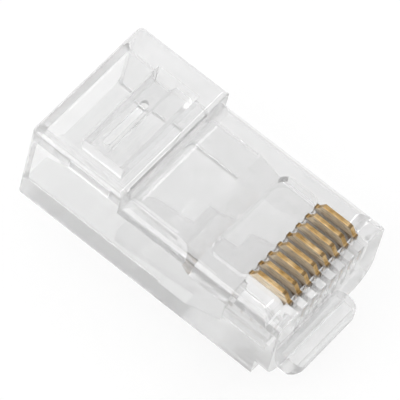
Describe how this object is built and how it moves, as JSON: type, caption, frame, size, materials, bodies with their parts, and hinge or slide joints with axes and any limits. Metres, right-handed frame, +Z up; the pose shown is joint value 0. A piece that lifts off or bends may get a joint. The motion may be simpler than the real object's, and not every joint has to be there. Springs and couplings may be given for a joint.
{
  "type": "modular plug",
  "caption": "Clear modular plug for a network cable, not yet crimped, with raised contact blades, a bending release latch and a fold-down jacket bar.",
  "frame": {"origin": "Middle of the bottom edge of the nose face, where the plug enters a jack", "axes": "X across the plug with blade 1 on the +X side, Y from the nose face back to the cable entry, Z up from the latch side to the blades"},
  "size_m": [0.0116, 0.0228, 0.0116],
  "materials": {
    "clear_plastic": "clear polished polycarbonate",
    "gold_contact": "thin gold over stamped copper alloy"
  },
  "bodies": {
    "housing": {"housing": "clear_plastic"},
    "latch": {"latch": "clear_plastic"},
    "strain_relief_bar": {"strain_relief_bar": "clear_plastic"},
    "contact_1": {"contact_1": "gold_contact"},
    "contact_2": {"contact_2": "gold_contact"},
    "contact_3": {"contact_3": "gold_contact"},
    "contact_4": {"contact_4": "gold_contact"},
    "contact_5": {"contact_5": "gold_contact"},
    "contact_6": {"contact_6": "gold_contact"},
    "contact_7": {"contact_7": "gold_contact"},
    "contact_8": {"contact_8": "gold_contact"}
  },
  "joints": [
    {"name": "latch_flex", "type": "hinge", "parent": "housing", "child": "latch", "pos_m": [0, 0.00075, -0.00105], "axis": [1, 0, 0], "range_deg": [0, 10], "stiffness_Nm_per_rad": 0.1},
    {"name": "jacket_bar_fold", "type": "hinge", "parent": "housing", "child": "strain_relief_bar", "pos_m": [0, 0.01515, 0.0057], "axis": [-1, 0, 0], "range_deg": [0, 28]},
    {"name": "contact_1_crimp", "type": "slide", "parent": "housing", "child": "contact_1", "axis": [0, 0, -1], "range_m": [0, 0.0013]},
    {"name": "contact_2_crimp", "type": "slide", "parent": "housing", "child": "contact_2", "axis": [0, 0, -1], "range_m": [0, 0.0013]},
    {"name": "contact_3_crimp", "type": "slide", "parent": "housing", "child": "contact_3", "axis": [0, 0, -1], "range_m": [0, 0.0013]},
    {"name": "contact_4_crimp", "type": "slide", "parent": "housing", "child": "contact_4", "axis": [0, 0, -1], "range_m": [0, 0.0013]},
    {"name": "contact_5_crimp", "type": "slide", "parent": "housing", "child": "contact_5", "axis": [0, 0, -1], "range_m": [0, 0.0013]},
    {"name": "contact_6_crimp", "type": "slide", "parent": "housing", "child": "contact_6", "axis": [0, 0, -1], "range_m": [0, 0.0013]},
    {"name": "contact_7_crimp", "type": "slide", "parent": "housing", "child": "contact_7", "axis": [0, 0, -1], "range_m": [0, 0.0013]},
    {"name": "contact_8_crimp", "type": "slide", "parent": "housing", "child": "contact_8", "axis": [0, 0, -1], "range_m": [0, 0.0013]}
  ]
}
